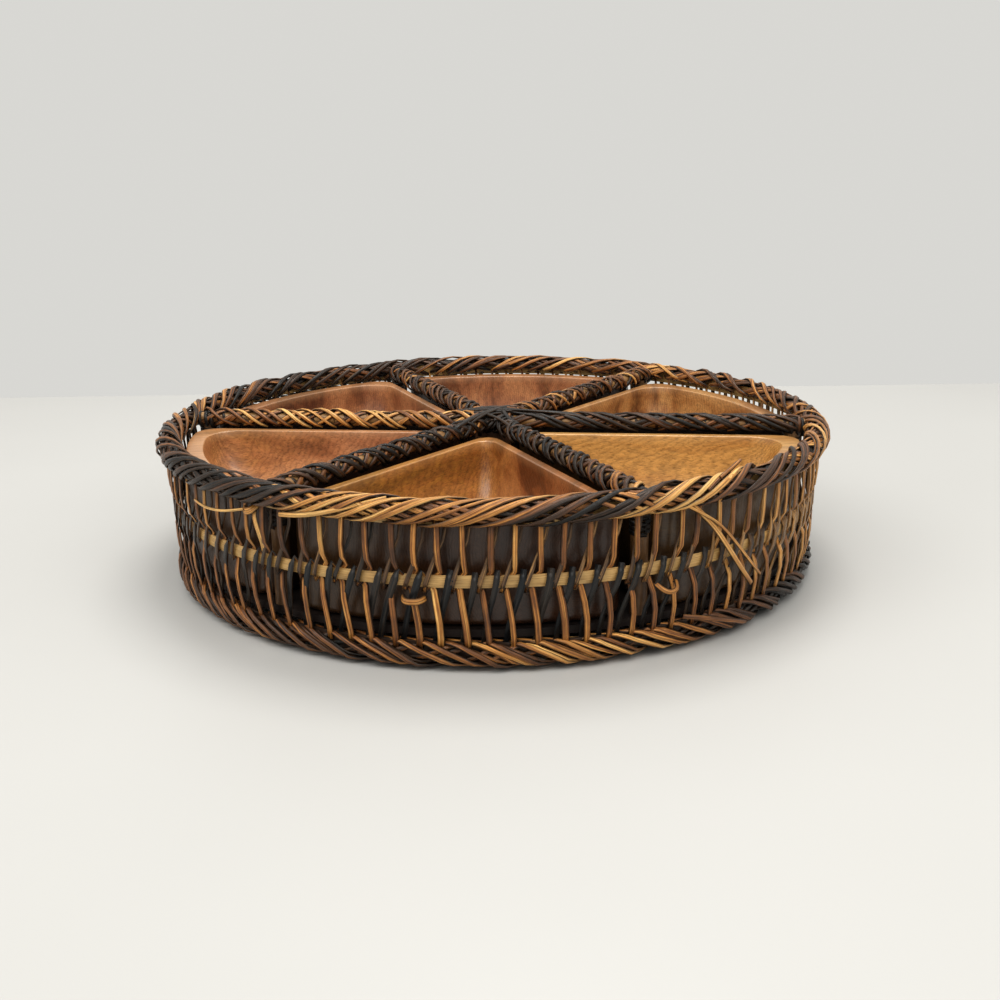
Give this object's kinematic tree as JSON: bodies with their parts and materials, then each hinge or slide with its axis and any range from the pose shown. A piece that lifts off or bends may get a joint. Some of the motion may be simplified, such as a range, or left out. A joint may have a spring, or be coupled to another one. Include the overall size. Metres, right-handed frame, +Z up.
{
  "type": "lazy susan turntable",
  "caption": "Low round cane basket on a ball-bearing turntable, split by bound radial dividers into bays that hold lift-out carved wooden wedge dishes.",
  "frame": {"origin": "on the table, under the middle of the basket, at the bottom of the rubber feet", "axes": "+Z up, along the turntable's axis; +X along the first divider; the dishes stand between the dividers, the first one at 30 degrees from +X towards +Y"},
  "size_m": [0.3999, 0.4, 0.089],
  "materials": {
    "rubber": "matt black rubber feet",
    "base_wood": "plain turned board, unpolished",
    "bearing_steel": "zinc-plated pressed steel, dull",
    "ball_steel": "polished steel balls",
    "screw_steel": "plated wood screws",
    "nail_steel": "blued steel nails",
    "floor_wood": "thin plywood stained dark brown",
    "cane_border": "split cane, brown to black, satin varnish",
    "cane_border_dark": "split cane, dark brown, satin varnish",
    "cane_pale": "flat pale cane band, satin varnish",
    "cane_strand": "flat split cane, red-brown to grey-brown, satin varnish",
    "cane_post": "round cane, dark brown",
    "cane_rod": "round cane, golden brown",
    "cane_binding": "split cane wrapped close, dark to golden",
    "cane_black": "black-stained cane, satin varnish",
    "post_wood": "turned post, stained brown",
    "dish_wood_1": "golden brown with a dark streak, satin varnish",
    "dish_wood_2": "medium red-brown, satin varnish",
    "dish_wood_3": "medium red-brown, satin varnish",
    "dish_wood_4": "red-brown with amber figure, satin varnish",
    "dish_wood_5": "golden amber turning red-brown, satin varnish",
    "dish_wood_6": "light golden amber, satin varnish"
  },
  "bodies": {
    "base": {"base_feet": "rubber", "base_board": "base_wood", "bearing_lower_plate": "bearing_steel", "lower_plate_screws": "screw_steel"},
    "ball_ring": {"bearing_balls": "ball_steel"},
    "turntable": {"bearing_upper_plate": "bearing_steel", "bearing_collar": "bearing_steel", "upper_plate_screws": "screw_steel", "floor_board": "floor_wood", "hub_screw": "screw_steel", "bottom_border": "cane_border_dark", "bottom_hoop": "cane_pale", "floor_nails": "nail_steel", "lower_loops": "cane_strand", "middle_band": "cane_pale", "upper_loops": "cane_strand", "rim_hoop": "cane_pale", "top_border": "cane_border", "centre_post": "post_wood", "centre_knot": "cane_black", "post_lashings": "cane_black", "post_nails": "nail_steel", "rod_nails": "nail_steel", "wall_post_1": "cane_post", "divider_rod_1": "cane_rod", "divider_binding_1": "cane_binding", "wall_post_2": "cane_post", "divider_rod_2": "cane_rod", "divider_binding_2": "cane_binding", "wall_post_3": "cane_post", "divider_rod_3": "cane_rod", "divider_binding_3": "cane_binding", "wall_post_4": "cane_post", "divider_rod_4": "cane_rod", "divider_binding_4": "cane_binding", "wall_post_5": "cane_post", "divider_rod_5": "cane_rod", "divider_binding_5": "cane_binding", "wall_post_6": "cane_post", "divider_rod_6": "cane_rod", "divider_binding_6": "cane_binding"},
    "dish_1": {"dish_1": "dish_wood_1"},
    "dish_2": {"dish_2": "dish_wood_2"},
    "dish_3": {"dish_3": "dish_wood_3"},
    "dish_4": {"dish_4": "dish_wood_4"},
    "dish_5": {"dish_5": "dish_wood_5"},
    "dish_6": {"dish_6": "dish_wood_6"}
  },
  "joints": [
    {"name": "turntable_spin", "type": "hinge", "parent": "base", "child": "turntable", "pos_m": [0, 0, 0.012], "axis": [0, 0, 1], "continuous": true},
    {"name": "balls_orbit", "type": "hinge", "parent": "base", "child": "ball_ring", "pos_m": [0, 0, 0.012], "axis": [0, 0, 1], "continuous": true},
    {"name": "dish_1_lift", "type": "slide", "parent": "turntable", "child": "dish_1", "axis": [0, 0, 1], "range_m": [0, 0.1]},
    {"name": "dish_2_lift", "type": "slide", "parent": "turntable", "child": "dish_2", "axis": [0, 0, 1], "range_m": [0, 0.1]},
    {"name": "dish_3_lift", "type": "slide", "parent": "turntable", "child": "dish_3", "axis": [0, 0, 1], "range_m": [0, 0.1]},
    {"name": "dish_4_lift", "type": "slide", "parent": "turntable", "child": "dish_4", "axis": [0, 0, 1], "range_m": [0, 0.1]},
    {"name": "dish_5_lift", "type": "slide", "parent": "turntable", "child": "dish_5", "axis": [0, 0, 1], "range_m": [0, 0.1]},
    {"name": "dish_6_lift", "type": "slide", "parent": "turntable", "child": "dish_6", "axis": [0, 0, 1], "range_m": [0, 0.1]}
  ],
  "couplings": [
    {"joint": "balls_orbit", "follows": "turntable_spin", "ratio": 0.5}
  ]
}
